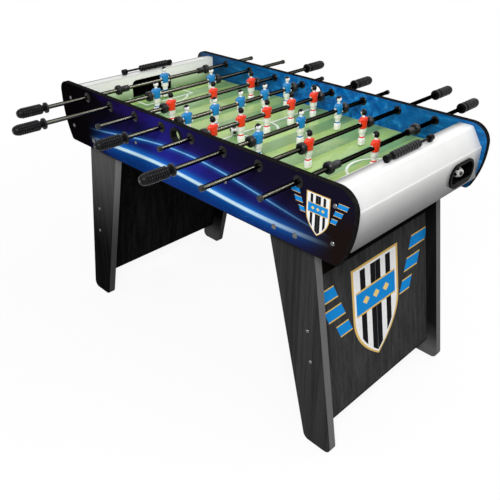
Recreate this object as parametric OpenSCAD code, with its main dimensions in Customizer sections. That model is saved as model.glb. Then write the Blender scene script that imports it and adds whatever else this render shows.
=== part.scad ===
// Foosball table for two teams: a curved-end cabinet on two slanted leg frames.
// Frame: X along the table, Y across it, Z up. The origin is on the floor under the centre.

/* [Cabinet] */
// Length of the side panels, tip to tip
table_length = 1220; // [1160:5:1300]
// Width over the outer faces of the side panels
table_width = 612; // [590:2:640]
// Height of the side panels' top edge above the floor
table_height = 812; // [780:2:860]
// Height of a side panel
side_height = 199; // [190:1:215]
// Thickness of the side panels
side_t = 15; // [12:1:18]
// Radius of the side panels' upper corners, at the left end and at the right end
end_radius_top = [34, 56]; // [20:2:60]
// Height at which the panel ends are widest
belly_z = 752; // [730:2:756]
// Radius of a panel end below its widest point
end_radius_low = 280; // [240:5:300]
// Radius of a panel's lower corners
corner_radius = 12; // [6:1:20]
// Thickness of the edge trim round a side panel
trim_t = 2; // [1.5:0.5:3]

/* [Pitch] */
// Height of the pitch above the floor
pitch_z = 722; // [710:1:730]
// Distance between the end walls
pitch_length = 1040; // [1030:2:1050]
// Thickness of the pitch board
pitch_t = 6; // [4:1:8]
// Height of the white end tops above the floor
end_top_z = 801; // [794:1:804]
// Width of a goal mouth
goal_w = 168; // [150:2:180]
// Height of a goal mouth
goal_h = 59; // [50:1:62]

/* [Rods] */
// Distance between two rods
rod_pitch = 127; // [126:0.5:129]
// Rod diameter
rod_d = 12.7; // [12:0.1:14]
// Wall thickness of a rod
rod_wall = 1.3; // [1:0.1:2]
// Depth of the rod axes below the side panels' top edge
rod_drop = 25; // [23:1:27]
// Running clearance between a rod and what turns or slides on it, on the radius
running_gap = 0.05; // [0.02:0.01:0.1]
// How far each rod stands from its middle place, for rods 1 to 8
rod_shift = [0, -14, 0, 0, -14, -8, -3, -6]; // [-30:1:30]

/* [Players] */
// Height of a player's head above the rod axis
head_top = 44; // [42:1:46]
// Depth of a player's foot below the rod axis
foot_low = 61; // [58:0.5:61]
// Width of a player over the arms
shoulder_w = 38; // [34:1:38]

/* [Grips and stops] */
// Handle length
handle_l = 97; // [90:1:120]
// Handle diameter over its ribs
handle_d = 31; // [28:1:34]
// Rubber bumper diameter
bumper_d = 32; // [28:1:34]
// Rubber bumper length
bumper_l = 16; // [12:1:18]

/* [Legs] */
// Thickness of the leg boards
leg_t = 24; // [18:1:28]
// Width of a leg where it meets the cabinet
leg_w_top = 148; // [130:1:170]
// Width of a leg at the floor
leg_w_foot = 95; // [70:1:110]
// Distance from the centre to a leg's outer edge where it meets the cabinet
leg_x_top = 489; // [470:1:500]
// Distance from the centre to a leg's outer edge at the floor
leg_x_foot = 585; // [560:1:600]
// Depth of the cross panel behind the legs' outer edges
leg_panel_inset = 37; // [30:1:45]
// Height of the cross panels' lower edges, left and right
leg_panel_low = [76, 58]; // [50:1:80]

/* [Hidden] */

$fn = 48;
eps = 0.01;
inner_y = table_width / 2 - side_t;
side_low = table_height - side_height;
low_arc_x = table_length / 2 - end_radius_low;
corner_z = side_low + corner_radius;
corner_angle = asin((belly_z - corner_z) / (end_radius_low - corner_radius));
corner_x = low_arc_x + (end_radius_low - corner_radius) * cos(corner_angle);
wall_t = 15;
wall_x = pitch_length / 2;
rod_z = table_height - rod_drop;

// Rods: team, places of the players, place of the bumpers, end of the cap, end of the handle
GOALIE = 0;
BACKS = 1;
FORWARDS = 2;
MIDFIELD = 3;
rod_line = [GOALIE, BACKS, FORWARDS, MIDFIELD, MIDFIELD, FORWARDS, BACKS, GOALIE];
rod_team = [1, 1, -1, 1, -1, 1, -1, -1];
player_places = [[0], [-118, 118], [-172, 0, 172], [-214, -107, 0, 107, 214]];
bumper_place = [190, 146, 200, 245];
cap_end = [431, 491, 437, 402];
handle_end = [545, 606, 557, 522];
clamp_l = 26;
clamp_d = 21;
cap_l = 10;
cap_d = 15;
bore_r = rod_d / 2 + running_gap;

// Bearings
barrel_d = 22;
flange_d = 31;
inner_flange_d = 26;
flange_t = 4;

// Ball openings
entry_z = 777;
entry_bore_r = 18;
entry_cup_r = 22;
return_y = [127, 253];
return_z = [665, 734];
return_wall = 3;
goal_round = 18;
chute_x = [wall_x + wall_t, wall_x + wall_t + 44];

// Moulded ends: flat top, rounded shoulder, steep slope to a crease, then an almost upright face
apron_t = 5;
apron_x = 596;
apron_crease_z = 748;
apron_low_x = 593;
apron_low_z = 652;
shoulder_x = 561;
shoulder_r = 14;
apron_slope = atan((end_top_z - apron_crease_z) / (apron_x - shoulder_x));
shoulder_arc_x = shoulder_x - shoulder_r * tan(apron_slope / 2);

// Balls: one on the pitch between rods 4 and 5, one in the right return cup
ball_d = 34;
pitch_ball = [0, -84];
return_ball = [573, 214];

// Scoring
score_x = 541;
score_z = 812;
score_half = 97;
score_bar_d = 7;
score_knob_d = 17;
score_knob_l = 16;
bead_d = 21;
bead_pitch = 12;
bead_count = 10;
bead_middle = [27, -17];

// Fixings
bolt_shank_d = 8;
screw_shank_d = 5;
apron_screws = [[553, 763], [553, 667]];
field_screw = [197, 703];
leg_bolts = [[371, 640], [440, 642]];
leg_face_screws = [[482, 371], [497, 278]];
leg_top_z = 700;
leg_slope_out = (leg_x_foot - leg_x_top) / side_low;
leg_slope_in = (leg_x_foot - leg_w_foot - leg_x_top + leg_w_top) / side_low;
leg_panel_t = 15;

function arc(c, r, a0, a1, n, first = 0) =
    [for (i = [first:n]) c + r * [cos(a0 + (a1 - a0) * i / n), sin(a0 + (a1 - a0) * i / n)]];
function leg_out_x(z) = leg_x_foot - leg_slope_out * z;
function leg_in_x(z) = leg_x_foot - leg_w_foot - leg_slope_in * z;
function travel(line) = inner_y - flange_t - 0.5 - bumper_place[line] - bumper_l / 2;
function rod_x(i) = (i - 4.5) * rod_pitch;
function line_of(i) = rod_line[i - 1];
function shift_of(i) = rod_shift[i - 1];
// Side on which rod i has its handle: -1 is the front, +1 the back
function handle_side(i) = -rod_team[i - 1];

// A solid drawn in the XZ plane, from y0 to y1
module slab_xz(y0, y1) {
    translate([0, y1, 0]) rotate([90, 0, 0]) linear_extrude(y1 - y0) children();
}

// A solid drawn in the YZ plane, from x0 to x1
module slab_yz(x0, x1) {
    translate([x0, 0, 0]) rotate([90, 0, 90]) linear_extrude(x1 - x0) children();
}

// A body of revolution about a line along Y: points are [radius, place along Y]
module turned_y(points) {
    rotate([-90, 0, 0]) rotate_extrude() polygon(points);
}

// A cylinder along Y from y0 to y1
module rod_y(r, y0, y1) {
    translate([0, y0, 0]) rotate([-90, 0, 0]) cylinder(r = r, h = y1 - y0);
}

module both_ends() {
    children();
    mirror([1, 0, 0]) children();
}

module both_sides() {
    children();
    mirror([0, 1, 0]) children();
}

// ---- Side panels ----

// Right half of a side panel's outline with the upper corner radius r, drawn smaller by inset
function side_half(r, inset) = concat(
    arc([table_length / 2 - r, table_height - r], r - inset, 90, 0, 20),
    arc([low_arc_x, belly_z], end_radius_low - inset, 0, -corner_angle, 20),
    arc([corner_x, corner_z], corner_radius - inset, -corner_angle, -90, 6, 1));

// Outline of a side panel, drawn smaller by inset all round
module side_outline(inset = 0) {
    left = side_half(end_radius_top[0], inset);
    right = side_half(end_radius_top[1], inset);
    polygon(concat(right, [for (k = [len(left) - 1:-1:0]) [-left[k][0], left[k][1]]]));
}

module side_panel() {
    difference() {
        slab_xz(-table_width / 2, -inner_y) side_outline(trim_t);
        for (i = [1:8]) translate([rod_x(i), 0, rod_z])
            rod_y(barrel_d / 2, -table_width, 0);
        translate([0, 0, entry_z]) rod_y(entry_cup_r, -table_width, 0);
        both_ends() {
            for (p = apron_screws) translate([p[0], 0, p[1]])
                rod_y(screw_shank_d / 2, -table_width, 0, $fn = 24);
            translate([field_screw[0], 0, field_screw[1]])
                rod_y(screw_shank_d / 2, -table_width, 0, $fn = 24);
            for (p = leg_bolts) translate([p[0], 0, p[1]])
                rod_y(bolt_shank_d / 2, -table_width, 0, $fn = 24);
        }
    }
}

module side_panel_front() { color("midnightblue") side_panel(); }
module side_panel_back() { color("midnightblue") mirror([0, 1, 0]) side_panel(); }

// The trims stand slightly proud of the outer faces and are flush with the inner ones
module edge_trims() {
    proud = 0.5;
    color("black") both_sides() slab_xz(-table_width / 2 - proud, -inner_y) difference() {
        side_outline();
        side_outline(trim_t);
    }
}

// ---- Pitch and cabinet ----

module playfield() {
    color("forestgreen") translate([-wall_x, -inner_y, pitch_z - pitch_t])
        cube([2 * wall_x, 2 * inner_y, pitch_t]);
}

module field_cross_bars() {
    bar_w = 25;
    bar_h = 26;
    color("burlywood") difference() {
        both_ends() translate([field_screw[0] - bar_w / 2, -inner_y, pitch_z - pitch_t - bar_h])
            cube([bar_w, 2 * inner_y, bar_h]);
        both_ends() both_sides() translate([field_screw[0], 0, field_screw[1]])
            rod_y(screw_shank_d / 2, -inner_y - 1, -inner_y + 20, $fn = 24);
    }
}

module goal_mouth() {
    half = goal_w / 2;
    polygon(concat(
        [[-half, 0], [half, 0]],
        arc([half - goal_round, goal_h - goal_round], goal_round, 0, 90, 8),
        arc([-half + goal_round, goal_h - goal_round], goal_round, 90, 180, 8)));
}

module end_wall() {
    foot_gap = 2;
    low = side_low + foot_gap;
    color("whitesmoke") difference() {
        translate([wall_x, -inner_y, low]) cube([wall_t, 2 * inner_y, end_top_z - apron_t - low]);
        slab_yz(wall_x - 1, wall_x + wall_t + 1) translate([0, pitch_z]) goal_mouth();
    }
}

module end_wall_right() { end_wall(); }
module end_wall_left() { rotate([0, 0, 180]) end_wall(); }

// Section of a moulded end, drawn smaller by inset; the back and the foot may run on by extra
module apron_section(inset, extra = 0) {
    crease_drop = inset * (1 - sin(apron_slope)) / cos(apron_slope);
    polygon(concat(
        [[wall_x - extra, end_top_z - inset]],
        arc([shoulder_arc_x, end_top_z - shoulder_r], shoulder_r - inset, 90, 90 - apron_slope, 8),
        [[apron_x - inset, apron_crease_z - crease_drop],
         [apron_low_x - inset, apron_low_z - extra],
         [wall_x - extra, apron_low_z - extra]]));
}

module return_mouth(grow) {
    h = return_z[1] - return_z[0];
    r = h / 2 + grow;
    middle_z = (return_z[0] + return_z[1]) / 2;
    for (y = [return_y[0] + h / 2, return_y[1] - h / 2]) translate([y, middle_z]) circle(r = r);
    translate([return_y[0] + h / 2, middle_z - r])
        square([return_y[1] - return_y[0] - h, 2 * r]);
}

module end_apron() {
    color("white") difference() {
        slab_xz(-inner_y, inner_y) apron_section(0);
        slab_xz(-inner_y - 1, inner_y + 1) apron_section(apron_t, 1);
        slab_yz(apron_x - 25, apron_x + 10) return_mouth(-4);
    }
}

module end_apron_right() { end_apron(); }
module end_apron_left() { rotate([0, 0, 180]) end_apron(); }

module corner_battens() {
    low = 640;
    high = 780;
    color("burlywood") both_ends() both_sides() difference() {
        translate([541, -inner_y, low]) cube([24, 10, high - low]);
        for (p = apron_screws) translate([p[0], 0, p[1]])
            rod_y(screw_shank_d / 2, -inner_y - 1, -inner_y + 11, $fn = 24);
    }
}

// Hood behind a goal mouth and the chute that carries a ball to the return cup
module goal_box() {
    half = goal_w / 2 + 6;
    t = return_wall;
    mouth_y = return_y[0] + 2;
    clear = apron_t + 1;
    outer = [[-half, 790], [half, 790], [half, 742], [mouth_y, 735], [mouth_y, 678], [-half, 700]];
    inner = [[-half + t, 790 - t], [half - t, 790 - t], [half - t, 742 - t],
             [mouth_y + 1, 735 - t], [mouth_y + 1, 678 + t], [-half + t, 700 + t]];
    color([0.06, 0.06, 0.06]) difference() {
        intersection() {
            slab_yz(chute_x[0], chute_x[1]) polygon(outer);
            slab_xz(-300, 300) apron_section(clear, 20);
        }
        intersection() {
            slab_yz(chute_x[0] + t, chute_x[1] - t) polygon(inner);
            slab_xz(-301, 301) apron_section(clear + t, 21);
        }
        slab_yz(chute_x[0] - 1, chute_x[0] + t + 1) translate([0, pitch_z]) goal_mouth();
    }
}

module goal_box_right() { goal_box(); }
module goal_box_left() { rotate([0, 0, 180]) goal_box(); }

// Moulded cup in which the balls collect: bezel, hollow and a low lip in front
module ball_return() {
    back_x = 549;
    bezel_x = apron_x;
    bezel_t = 5;
    t = return_wall;
    color([0.07, 0.07, 0.07]) difference() {
        union() {
            slab_yz(bezel_x, bezel_x + bezel_t) return_mouth(0);
            slab_yz(back_x, bezel_x + eps) return_mouth(-4.5);
        }
        slab_yz(back_x + t, bezel_x) return_mouth(-4.5 - t);
        slab_yz(bezel_x - 1, bezel_x + bezel_t + 1) difference() {
            return_mouth(-4.5 - t);
            translate([0, return_z[0]]) square([400, 16]);
        }
        translate([back_x + t, return_y[0], 681]) cube([26, 12, 37]);
    }
}

module ball_return_right() { ball_return(); }
module ball_return_left() { rotate([0, 0, 180]) ball_return(); }

module ball_entry_cups() {
    color([0.07, 0.07, 0.07]) both_sides() translate([0, -table_width / 2, entry_z])
        turned_y([[entry_bore_r, -3], [entry_cup_r + 2, -3], [entry_cup_r + 4, -1.5], [entry_cup_r + 4, 0],
                  [entry_cup_r, 0], [entry_cup_r, side_t + 1], [entry_bore_r, side_t + 1]]);
}

module rod_bearings() {
    r = flange_d / 2;
    r_in = inner_flange_d / 2;
    color([0.08, 0.08, 0.08]) both_sides() for (i = [1:8])
        translate([rod_x(i), -table_width / 2, rod_z])
            turned_y([[bore_r, -flange_t], [r - 4, -flange_t], [r, -1.5], [r, 0],
                      [barrel_d / 2, 0], [barrel_d / 2, side_t], [r_in, side_t],
                      [r_in, side_t + 2], [r_in - 2, side_t + flange_t],
                      [bore_r, side_t + flange_t]]);
}

module ball(x, y, floor_z) {
    color("white") translate([x, y, floor_z + ball_d / 2]) sphere(d = ball_d, $fn = 64);
}

module ball_in_play() { ball(pitch_ball[0], pitch_ball[1], pitch_z + 0.1); }
module ball_in_return() { ball(return_ball[0], return_ball[1], return_z[0] + 4.5 + return_wall + 0.2); }

// ---- Score counters ----

module score_bars() {
    color([0.08, 0.08, 0.08]) both_ends() {
        translate([score_x, 0, score_z]) rod_y(score_bar_d / 2, -score_half, score_half);
        for (y = [-score_half, score_half]) translate([score_x, y - score_knob_l / 2, 0]) {
            translate([0, 0, score_z]) rod_y(score_knob_d / 2, 0, score_knob_l);
            translate([-score_knob_d / 4, 1, end_top_z])
                cube([score_knob_d / 2, score_knob_l - 2, score_z - end_top_z]);
        }
    }
}

module score_beads(middle) {
    groove = 2.5;
    start = middle - bead_count * bead_pitch / 2;
    hole = score_bar_d / 2 + 0.1;
    color([0.08, 0.08, 0.08]) for (k = [0:bead_count - 1])
        translate([0, start + k * bead_pitch, score_z])
            turned_y([[hole, 0.2], [bead_d / 2 - groove, 0.2], [bead_d / 2, 3],
                      [bead_d / 2, bead_pitch - 3], [bead_d / 2 - groove, bead_pitch - 0.2],
                      [hole, bead_pitch - 0.2]]);
}

module score_beads_left() { translate([-score_x, 0, 0]) score_beads(bead_middle[0]); }
module score_beads_right() { translate([score_x, 0, 0]) score_beads(bead_middle[1]); }

// ---- Legs ----

// One leg board: leaning outwards, with its foot corners rounded
module leg_outline() {
    r = 20;
    foot_in = leg_in_x(0);
    foot_out = leg_x_foot;
    lean_out = atan(leg_slope_out);
    lean_in = atan(leg_slope_in);
    // distances from a foot corner to the arc centre along the floor
    c_out = r * tan((90 + lean_out) / 2);
    c_in = r * tan((90 - lean_in) / 2);
    polygon(concat(
        [[leg_in_x(leg_top_z), leg_top_z]],
        arc([foot_in + c_in, r], r, 180 + lean_in, 270, 8),
        arc([foot_out - c_out, r], r, 270, 360 + lean_out, 8),
        [[leg_out_x(leg_top_z), leg_top_z]]));
}

module leg_board() {
    difference() {
        slab_xz(-inner_y, -inner_y + leg_t) leg_outline();
        for (p = leg_bolts) translate([p[0], 0, p[1]])
            rod_y(bolt_shank_d / 2, -inner_y - 1, 0, $fn = 24);
        for (p = leg_face_screws) translate([p[0], 0, p[1]])
            rod_y(screw_shank_d / 2, -inner_y - 1, 0, $fn = 24);
    }
}

module leg_boards_right() { color("dimgray") both_sides() leg_board(); }
module leg_boards_left() { mirror([1, 0, 0]) leg_boards_right(); }

module leg_panel(low) {
    half = inner_y - leg_t;
    top = leg_top_z;
    color("dimgray") difference() {
        slab_xz(-half, half) polygon([
            [leg_out_x(low) - leg_panel_inset - leg_panel_t, low],
            [leg_out_x(low) - leg_panel_inset, low],
            [leg_out_x(top) - leg_panel_inset, top],
            [leg_out_x(top) - leg_panel_inset - leg_panel_t, top]]);
        both_sides() for (p = leg_face_screws) translate([p[0], 0, p[1]])
            rod_y(screw_shank_d / 2, -half - 1, -half + 20, $fn = 24);
    }
}

module leg_panel_right() { leg_panel(leg_panel_low[1]); }
module leg_panel_left() { mirror([1, 0, 0]) leg_panel(leg_panel_low[0]); }

// Dark rail across the top of each leg frame, in front of the cross panel
module leg_rails() {
    half = inner_y - leg_t;
    low = 538;
    high = 612;
    set_back = 2;
    color([0.05, 0.05, 0.05]) both_ends() slab_xz(-half, half) polygon([
        [leg_out_x(low) - leg_panel_inset, low], [leg_out_x(low) - set_back, low],
        [leg_out_x(high) - set_back, high], [leg_out_x(high) - leg_panel_inset, high]]);
}

// ---- Fixings ----

// A domed head on a plain shank, pointing into the table along +Y
module domed_screw(head_r, shank_r, shank_l) {
    turned_y(concat(
        [[0, -3.4], [head_r * 0.45, -3.1], [head_r * 0.8, -2.2], [head_r, -0.9], [head_r, 0],
         [shank_r, 0], [shank_r, shank_l], [0, shank_l]]), $fn = 24);
}

module cabinet_screws() {
    color("silver") both_ends() both_sides() {
        for (p = apron_screws) translate([p[0], -table_width / 2, p[1]])
            domed_screw(6, screw_shank_d / 2, side_t + 9);
        translate([field_screw[0], -table_width / 2, field_screw[1]])
            domed_screw(5, screw_shank_d / 2, side_t + 18);
        for (p = leg_bolts) translate([p[0], -table_width / 2, p[1]])
            domed_screw(7.5, bolt_shank_d / 2, side_t + leg_t);
    }
}

module leg_screws() {
    color("silver") both_ends() both_sides()
        for (p = leg_face_screws) translate([p[0], -inner_y, p[1]])
            domed_screw(5.5, screw_shank_d / 2, leg_t + 16);
}

// ---- Rods ----

// Where rod i runs from and to, with the handle side as the positive side
function tube_low(i) = -(cap_end[line_of(i)] - 4);
function tube_high(i) = handle_end[line_of(i)] - 12;

module at_rod(i) {
    translate([rod_x(i), shift_of(i), rod_z])
        if (handle_side(i) > 0) children();
        else mirror([0, 1, 0]) children();
}

module rod_tube(i) {
    color("silver") at_rod(i) difference() {
        rod_y(rod_d / 2, tube_low(i), tube_high(i));
        rod_y(rod_d / 2 - rod_wall, tube_low(i) - 1, tube_high(i) + 1);
    }
}

// Half outline of a player from the front: half widths and heights
function player_front() = let (s = shoulder_w / 2, f = -foot_low) [
    [4.4, 25.5], [9.5, 22], [s - 4, 19.5], [s - 1.2, 13], [s, 3], [s - 0.8, -7], [s - 4, -9.5],
    [13, -7.5], [12.6, -12], [12.2, -22], [10.6, -24.5], [9, -31], [7.9, -39.5], [10.5, -40.5],
    [10.5, f]];

module player_front_outline() {
    half = player_front();
    polygon(concat(half, [for (k = [len(half) - 1:-1:0]) [-half[k][0], half[k][1]]]));
}

// Outline of a player from the side, facing +X
module player_side_outline() {
    f = -foot_low;
    polygon([[-4.4, 25.5], [-8, 20], [-9.8, 8], [-10, -8], [-9.2, -22], [-7, -24.5], [-6, -39.5],
             [-6.5, -40.5], [-6.5, f], [6.5, f], [6.8, -40.5], [6.2, -39.5], [7.2, -24.5], [9.2, -22],
             [10, -8], [10, 8], [8, 20], [4.4, 25.5]]);
}

module player(facing) {
    head_r = 9;
    mirror([facing > 0 ? 0 : 1, 0, 0]) difference() {
        union() {
            intersection() {
                slab_yz(-20, 20) player_front_outline();
                slab_xz(-30, 30) player_side_outline();
            }
            translate([0, 0, 20]) cylinder(r = 4.6, h = 10, $fn = 24);
            translate([0.5, 0, head_top - head_r]) sphere(r = head_r, $fn = 32);
            rod_y(11, -11, 11, $fn = 36);
        }
        rod_y(bore_r, -30, 30);
    }
}

module rod_players(i) {
    line = line_of(i);
    c = rod_team[i - 1] > 0 ? "dodgerblue" : "red";
    color(c) translate([rod_x(i), shift_of(i), rod_z])
        for (y = player_places[line]) translate([0, y, 0]) player(rod_team[i - 1]);
}

module rod_handle(i) {
    end = handle_end[line_of(i)];
    start = end - handle_l;
    r = handle_d / 2;
    collar = [[bore_r, 0], [r - 1.5, 0], [r + 0.8, 2], [r + 0.8, 5.5], [r - 1.5, 7.5], [9.5, 8.5],
              [9.5, 15], [r - 3, 18]];
    rib_first = 19.5;
    rib_pitch = 7;
    ribs = [for (k = [0:8]) let (s = rib_first + k * rib_pitch)
        each [[r - 1.2, s], [r, s + 1.2], [r, s + rib_pitch - 2.4], [r - 1.2, s + rib_pitch - 1.2]]];
    tip = [[r - 0.5, handle_l - 14], [r - 2.5, handle_l - 8], [r - 6.5, handle_l - 3.5],
           [r - 11, handle_l - 0.8], [0, handle_l]];
    bore_end = tube_high(i) - start + 0.5;
    color([0.06, 0.06, 0.06]) at_rod(i) translate([0, start, 0])
        turned_y(concat(collar, ribs, tip, [[0, bore_end], [bore_r, bore_end]]));
}

// Rubber bumpers, end cap and, on a goalkeeper's rod, the clamp collars
module rod_stops(i) {
    line = line_of(i);
    r = bumper_d / 2;
    half = bumper_l / 2;
    low = -cap_end[line];
    bore_start = tube_low(i) - 0.5;
    color([0.08, 0.08, 0.08]) at_rod(i) {
        for (y = [-bumper_place[line], bumper_place[line]]) translate([0, y, 0])
            turned_y([[bore_r, -half], [r - 3, -half], [r, -half + 3], [r, half - 3],
                      [r - 3, half], [bore_r, half]]);
        turned_y([[0, low], [cap_d / 2 - 2.5, low], [cap_d / 2, low + 2.5], [cap_d / 2, low + cap_l],
                  [bore_r, low + cap_l], [bore_r, bore_start], [0, bore_start]]);
        if (line == GOALIE)
            for (s = [-1, 1]) translate([0, s * (bumper_place[line] - half - clamp_l / 2 - 4), 0])
                turned_y([[bore_r, -clamp_l / 2], [clamp_d / 2 - 1, -clamp_l / 2],
                          [clamp_d / 2, -clamp_l / 2 + 1], [clamp_d / 2, clamp_l / 2 - 1],
                          [clamp_d / 2 - 1, clamp_l / 2], [bore_r, clamp_l / 2]]);
    }
}

side_panel_front();
side_panel_back();
edge_trims();
playfield();
field_cross_bars();
end_wall_left();
end_wall_right();
end_apron_left();
end_apron_right();
corner_battens();
goal_box_left();
goal_box_right();
ball_return_left();
ball_return_right();
ball_entry_cups();
rod_bearings();
score_bars();
score_beads_left();
score_beads_right();
ball_in_play();
ball_in_return();
leg_boards_left();
leg_boards_right();
leg_panel_left();
leg_panel_right();
leg_rails();
cabinet_screws();
leg_screws();
for (i = [1:8]) {
    rod_tube(i);
    rod_players(i);
    rod_handle(i);
    rod_stops(i);
}
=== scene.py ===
import math

import bmesh
import bpy
from mathutils import Matrix, Vector


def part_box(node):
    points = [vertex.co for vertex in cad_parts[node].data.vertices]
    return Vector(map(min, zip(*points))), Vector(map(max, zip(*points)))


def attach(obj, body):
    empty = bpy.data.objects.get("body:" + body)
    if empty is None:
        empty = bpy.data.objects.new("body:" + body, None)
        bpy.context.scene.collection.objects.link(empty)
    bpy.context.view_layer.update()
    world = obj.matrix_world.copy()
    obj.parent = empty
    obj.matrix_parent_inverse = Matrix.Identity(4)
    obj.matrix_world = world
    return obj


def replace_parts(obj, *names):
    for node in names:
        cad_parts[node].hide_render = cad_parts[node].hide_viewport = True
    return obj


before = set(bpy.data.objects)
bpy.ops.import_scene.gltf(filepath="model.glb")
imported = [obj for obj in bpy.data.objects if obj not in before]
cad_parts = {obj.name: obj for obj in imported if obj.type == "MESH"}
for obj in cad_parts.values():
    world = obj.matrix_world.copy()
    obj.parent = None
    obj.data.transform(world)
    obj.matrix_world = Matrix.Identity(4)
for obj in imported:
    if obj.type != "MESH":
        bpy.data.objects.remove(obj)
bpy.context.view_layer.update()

# ---- Standing point ----
# The table is seen from its near right corner, from a little above head height,
# with the long front panel running away to the left.
eye_place = Vector((1.2845, -1.2943, 1.3861))
eye_turn = -0.7802
eye_dip = 0.4789
eye_tilt = 0.0046
looking = Vector((math.cos(eye_dip) * math.sin(eye_turn),
                  math.cos(eye_dip) * math.cos(eye_turn), -math.sin(eye_dip)))
level_right = Vector((math.cos(eye_turn), -math.sin(eye_turn), 0))
level_up = level_right.cross(looking)
right = math.cos(eye_tilt) * level_right + math.sin(eye_tilt) * level_up
up = math.cos(eye_tilt) * level_up - math.sin(eye_tilt) * level_right
lens = bpy.data.cameras.new("standing_point")
lens.lens = 44.87
lens.sensor_width = 36
lens.shift_x = -0.0108
lens.shift_y = -0.0814
camera = bpy.data.objects.new("standing_point", lens)
camera.matrix_world = Matrix.Translation(eye_place) @ Matrix((right, up, -looking)).transposed().to_4x4()
bpy.context.scene.collection.objects.link(camera)
bpy.context.scene.camera = camera
bpy.context.scene.view_settings.view_transform = "Standard"


# ---- Studio ----
# A white room with a pale floor: a broad soft lamp over the table, a stronger one in front of
# its near corner, two narrow strips behind that draw the bright lines on the rods, a white sky.
def lay(tree, kind, sockets={}, **settings):
    """Adds a shader node. Each named socket gets a value, or the output that feeds it."""
    piece = tree.nodes.new("ShaderNode" + kind)
    for setting, value in settings.items():
        setattr(piece, setting, value)
    for socket, value in sockets.items():
        feed(tree, value, piece.inputs[socket])
    return piece


def feed(tree, value, socket):
    """Gives a socket a plain value, or joins an output to it."""
    if isinstance(value, bpy.types.NodeSocket):
        tree.links.new(value, socket)
    else:
        socket.default_value = value


def sum_of(tree, operation, first, second=0.0, third=0.0):
    """One step of arithmetic between numbers or outputs."""
    piece = tree.nodes.new("ShaderNodeMath")
    piece.operation = operation
    for value, socket in zip((first, second, third), piece.inputs):
        feed(tree, value, socket)
    return piece.outputs[0]


def times(tree, first, second):
    """One number multiplied by another."""
    return sum_of(tree, "MULTIPLY", first, second)


def times_plus(tree, first, second, third):
    """Two numbers multiplied, and a third added."""
    return sum_of(tree, "MULTIPLY_ADD", first, second, third)


def minus(tree, first, second):
    """The second number taken from the first."""
    return sum_of(tree, "SUBTRACT", first, second)


def larger(tree, first, second):
    """The larger of two numbers."""
    return sum_of(tree, "MAXIMUM", first, second)


def mapped(tree, value, low, high, to_low=0.0, to_high=1.0):
    """Carries a value from one range over to another, and stops at the ends."""
    return lay(tree, "MapRange", {"Value": value, 1: low, 2: high, 3: to_low, 4: to_high}).outputs[0]


def own_place(tree):
    """The place of each point of a surface, in metres."""
    return lay(tree, "TexCoord").outputs["Object"]


def seen_directly(tree):
    """1 where the background is seen by eye, in a mirror or through glass."""
    path = lay(tree, "LightPath")
    seen = larger(tree, path.outputs["Is Camera Ray"], path.outputs["Is Glossy Ray"])
    return larger(tree, seen, path.outputs["Is Transmission Ray"])


floor_size = 60
floor_grey = 0.62
floor_white = 0.985
# the share of the table's shadow that shows near it, and where that share fades out
floor_shadow_share = 0.11
floor_shadow_reach = (0.9, 2.6)
floor_mesh = bpy.data.meshes.new("floor")
half = floor_size / 2
floor_mesh.from_pydata([(-half, -half, 0), (half, -half, 0), (half, half, 0), (-half, half, 0)],
                       [], [(0, 1, 2, 3)])
floor = bpy.data.objects.new("floor", floor_mesh)
bpy.context.scene.collection.objects.link(floor)
floor_paint = bpy.data.materials.new("pale_floor")
floor_paint.use_nodes = True
floor_tree = floor_paint.node_tree
floor_tree.nodes.remove(floor_tree.nodes["Principled BSDF"])
floor_seen = seen_directly(floor_tree)
floor_tone = times_plus(floor_tree, floor_seen, floor_white - floor_grey, floor_grey)
floor_colour = lay(floor_tree, "CombineColor", {0: floor_tone, 1: floor_tone, 2: floor_tone}).outputs[0]
floor_matt = lay(floor_tree, "BsdfDiffuse", {"Color": floor_colour})
floor_glow = lay(floor_tree, "Emission", {"Color": (1, 1, 1, 1), "Strength": 1.0})
from_table = lay(floor_tree, "VectorMath", {0: own_place(floor_tree)}, operation="LENGTH").outputs["Value"]
shadow_share = mapped(floor_tree, from_table, *floor_shadow_reach, floor_shadow_share, 0.0)
glow_share = times(floor_tree, floor_seen, minus(floor_tree, 1.0, shadow_share))
floor_mix = lay(floor_tree, "MixShader",
                {0: glow_share, 1: floor_matt.outputs[0], 2: floor_glow.outputs[0]})
feed(floor_tree, floor_mix.outputs[0], floor_tree.nodes["Material Output"].inputs["Surface"])
floor_mesh.materials.append(floor_paint)

sky_strength = 0.52
sky = bpy.data.worlds.new("white_room")
bpy.context.scene.world = sky
sky.use_nodes = True
sky_tree = sky.node_tree
sky_light = sky_tree.nodes["Background"]
sky_light.inputs["Color"].default_value = (1, 1, 1, 1)
sky_seen = seen_directly(sky_tree)
feed(sky_tree, times_plus(sky_tree, sky_seen, 1 - sky_strength, sky_strength), sky_light.inputs["Strength"])


def hang_lamp(name, place, target, width, depth, power):
    """A rectangular soft lamp at a place, turned towards a target; sizes in metres, power in watts."""
    lamp = bpy.data.lights.new(name, "AREA")
    lamp.shape = "RECTANGLE"
    lamp.size = width
    lamp.size_y = depth
    lamp.energy = power
    holder = bpy.data.objects.new(name, lamp)
    holder.location = place
    holder.rotation_euler = (Vector(target) - Vector(place)).to_track_quat("-Z", "Y").to_euler()
    bpy.context.scene.collection.objects.link(holder)


hang_lamp("lamp_over_table", (0.35, -0.55, 2.7), (0, 0, 0.7), 2.4, 1.6, 7)
hang_lamp("lamp_in_front", (1.8, -2.2, 2.8), (0, 0, 0.7), 1.3, 1.0, 78)
hang_lamp("lamp_for_rods", (0.25, 2.1, 2.5), (0.25, 2.1, 0), 0.35, 3.0, 9)
hang_lamp("lamp_for_rod_ends", (1.4, 1.4, 2.5), (1.4, 1.4, 0), 2.0, 0.10, 11)


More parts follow.
